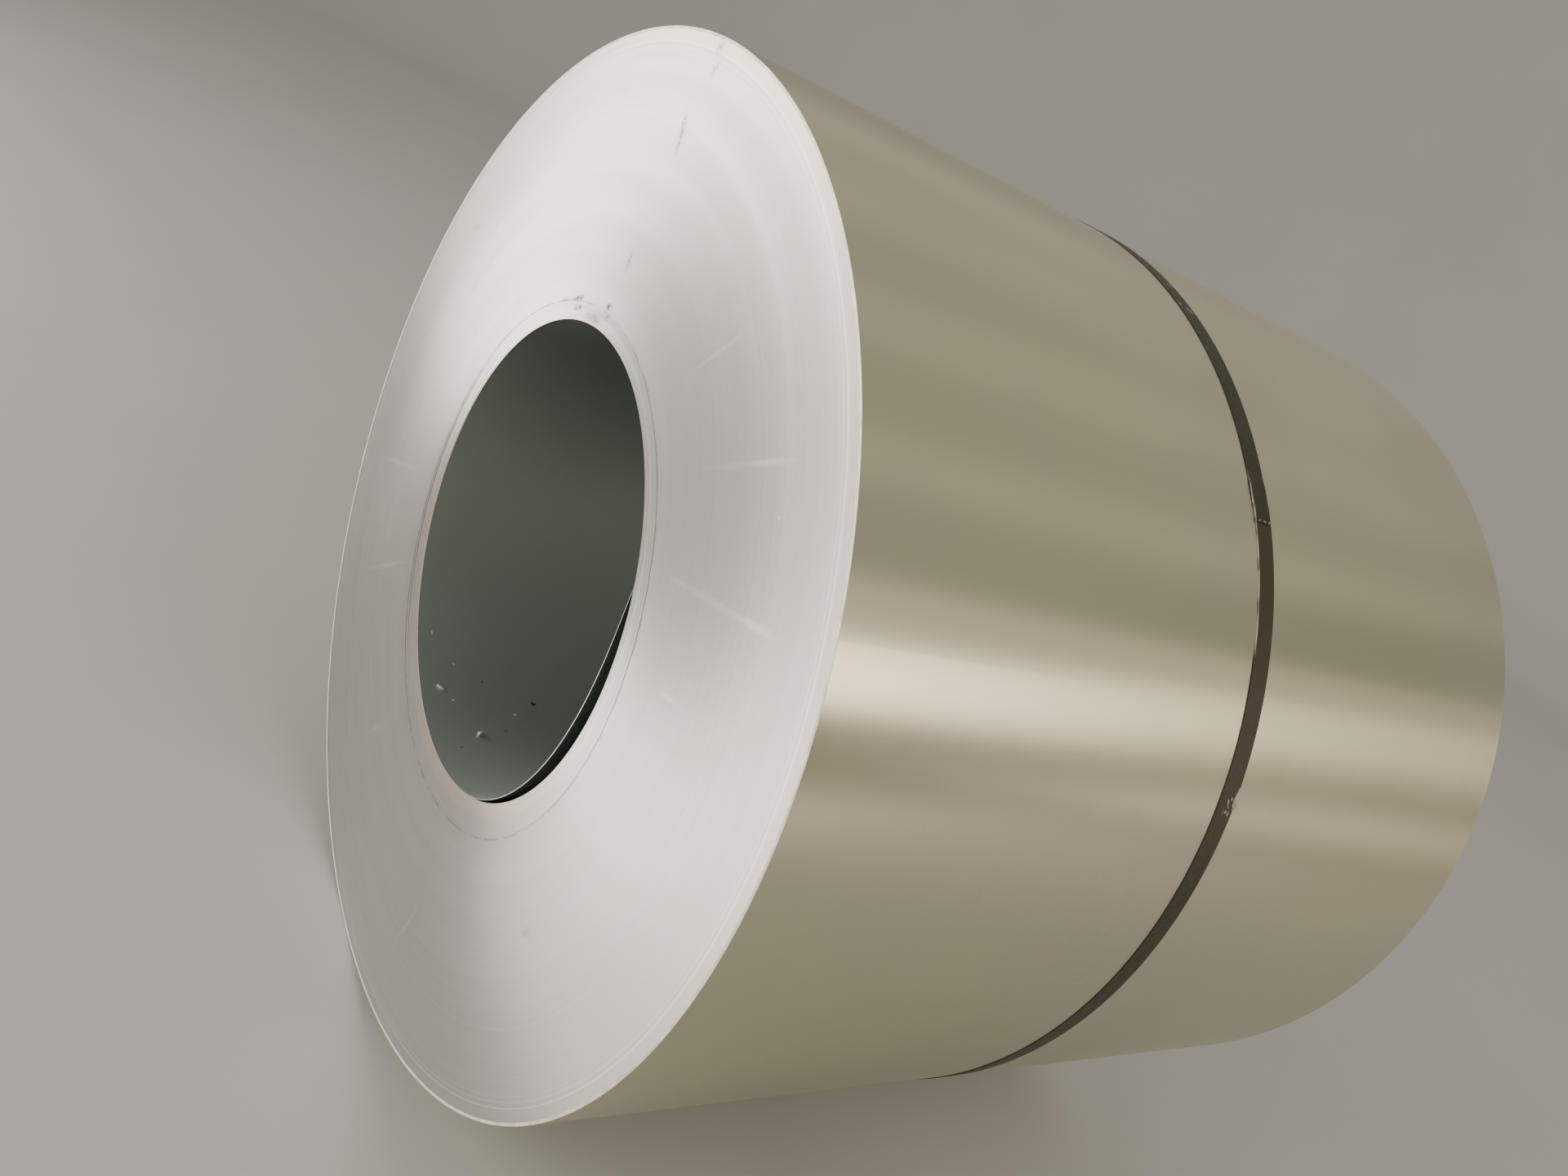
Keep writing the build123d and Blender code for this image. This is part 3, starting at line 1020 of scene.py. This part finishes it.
def make_floor(stage):
    """The floor and the wall behind as one bowl: level out to the floor's radius, then a quarter circle up,
    then straight up. Its profile is carried round the middle."""
    bend = 2.0
    turn = np.linspace(0, math.pi / 2, 17)[1:]
    level = np.linspace(0.0, 1.0, 12) * stage.floor_radius
    level[0] = 0.01
    out = np.concatenate([level, stage.floor_radius + bend * np.append(np.sin(turn), 1)])[:, None]
    up = np.concatenate([0 * level, bend * (1 - np.cos(turn)), [stage.wall_height]])[:, None]
    around = np.linspace(0, math.tau, 96, endpoint=False)
    points = np.stack([out * np.cos(around), out * np.sin(around), up + 0 * around], axis=-1).reshape(-1, 3)
    faces = grid_quads(len(out), len(around), columns_close=True)
    mesh = bpy.data.meshes.new("floor")
    mesh.from_pydata(points.tolist(), [], faces[:, ::-1].tolist())
    mesh.shade_smooth()
    wires = Finish("floor_paint", 0.7, 0.0)
    cloud = wires.noise(wires.add("ShaderNodeTexCoord").outputs["Object"], 1.5, 3.0, 0.5)
    darker = [0.97 * part for part in stage.floor]
    wires.set("Base Color", wires.blend(wires.mottle(cloud, 0.0, 1.0), stage.floor, darker))
    mesh.materials.append(wires.material)
    floor = bpy.data.objects.new("floor", mesh)
    bpy.context.scene.collection.objects.link(floor)


def make_camera():
    """Camera at the photograph's place, rolled as it was held."""
    data = bpy.data.cameras.new("camera")
    data.sensor_width = 36.0
    data.lens = CAMERA_LENS
    data.clip_end = 200.0
    camera = bpy.data.objects.new("camera", data)
    camera.location = CAMERA_PLACE
    camera.rotation_mode = "QUATERNION"
    aim = (CAMERA_TARGET - CAMERA_PLACE).to_track_quat("-Z", "Y")
    camera.rotation_quaternion = aim @ Quaternion((0, 0, 1), CAMERA_ROLL)
    bpy.context.scene.collection.objects.link(camera)
    bpy.context.scene.camera = camera


def add_softbox(name, place, target, width, length, lengthwise, brightness, colour):
    """A soft rectangular light that faces its target and isn't seen itself. Its length lies as near as can be
    to the lengthwise direction. Its power is the brightness of its face times pi times its area."""
    data = bpy.data.lights.new(name, "AREA")
    data.shape = "RECTANGLE"
    data.size = width
    data.size_y = length
    data.energy = brightness * math.pi * width * length
    data.color = colour
    light = bpy.data.objects.new(name, data)
    light.location = place
    light.rotation_mode = "QUATERNION"
    back = (Vector(place) - Vector(target)).normalized()
    side = Vector(lengthwise).cross(back).normalized()
    light.rotation_quaternion = Matrix((side, back.cross(side), back)).transposed().to_quaternion()
    light.visible_camera = False
    bpy.context.scene.collection.objects.link(light)


def add_band_lights(colour):
    """Soft boxes along the coil. Each lies flat on a cylinder round the axis, between two angles."""
    warmed = tuple(np.array(colour) * BAND_TINT)
    for index, (low, high, start, end, slant, brightness) in enumerate(BAND_LIGHTS):
        y = (start + end) / 2
        angle = math.radians((low + high) / 2 + slant * (y - 1))
        out = Vector((math.cos(angle), 0, math.sin(angle)))
        rise = BAND_REACH * math.radians(slant)
        lengthwise = (-rise * math.sin(angle), 1, rise * math.cos(angle))
        middle = Vector((0, y, AXIS_HEIGHT))
        width = 2 * BAND_REACH * math.sin(math.radians(high - low) / 2)
        place = middle + BAND_REACH * out
        add_softbox(f"band_{index}", place, middle, width, end - start, lengthwise, brightness, warmed)


class COIL_OT_set_stage(bpy.types.Operator):
    """Makes the floor, the lights and the camera"""

    bl_idname = "coil.set_stage"
    bl_label = "Set the stage"

    def execute(self, context):
        stage = context.scene.coil_stage
        make_floor(stage)
        world = bpy.data.worlds.new("studio")
        world.use_nodes = True
        sky = world.node_tree.nodes["Background"].inputs
        sky["Color"].default_value = (*stage.light, 1.0)
        sky["Strength"].default_value = WORLD_LIGHT
        context.scene.world = world
        for name, place, width, height, brightness in STUDIO_BOXES:
            add_softbox(name, place, (0, SEEN_Y, AXIS_HEIGHT), width, height, (0, 0, 1), brightness, stage.light)
        add_band_lights(stage.light)
        make_camera()
        return {"FINISHED"}


class COIL_PT_panel(bpy.types.Panel):
    """Lists the steps in the order in which they are made"""

    bl_idname = "COIL_PT_panel"
    bl_label = "Steel coil"
    bl_space_type = "VIEW_3D"
    bl_region_type = "UI"
    bl_category = "Coil"

    def draw(self, context):
        for operator in OPERATORS:
            self.layout.operator(operator.bl_idname)
        for name in SETTINGS:
            settings = getattr(context.scene, name)
            for key in settings.__annotations__:
                self.layout.prop(settings, key)


OPERATORS = (COIL_OT_wind_turns, COIL_OT_ease_inner_lap, COIL_OT_scatter_chips, COIL_OT_tighten_strap,
             COIL_OT_set_stage)
SETTINGS = {"coil_turns": TurnsSettings, "coil_lap": LapSettings, "coil_strap": StrapSettings,
            "coil_stage": StageSettings}


def register():
    for name, settings in SETTINGS.items():
        bpy.utils.register_class(settings)
        setattr(bpy.types.Scene, name, PointerProperty(type=settings))
    for operator in OPERATORS:
        bpy.utils.register_class(operator)
    bpy.utils.register_class(COIL_PT_panel)


def unregister():
    bpy.utils.unregister_class(COIL_PT_panel)
    for operator in reversed(OPERATORS):
        bpy.utils.unregister_class(operator)
    for name, settings in SETTINGS.items():
        delattr(bpy.types.Scene, name)
        bpy.utils.unregister_class(settings)


def main():
    """Makes every piece."""
    register()
    make_groups()
    bpy.ops.coil.wind_turns()
    bpy.ops.coil.ease_inner_lap()
    bpy.ops.coil.scatter_chips()
    bpy.ops.coil.tighten_strap()
    bpy.ops.coil.set_stage()


if __name__ == "__main__":
    main()
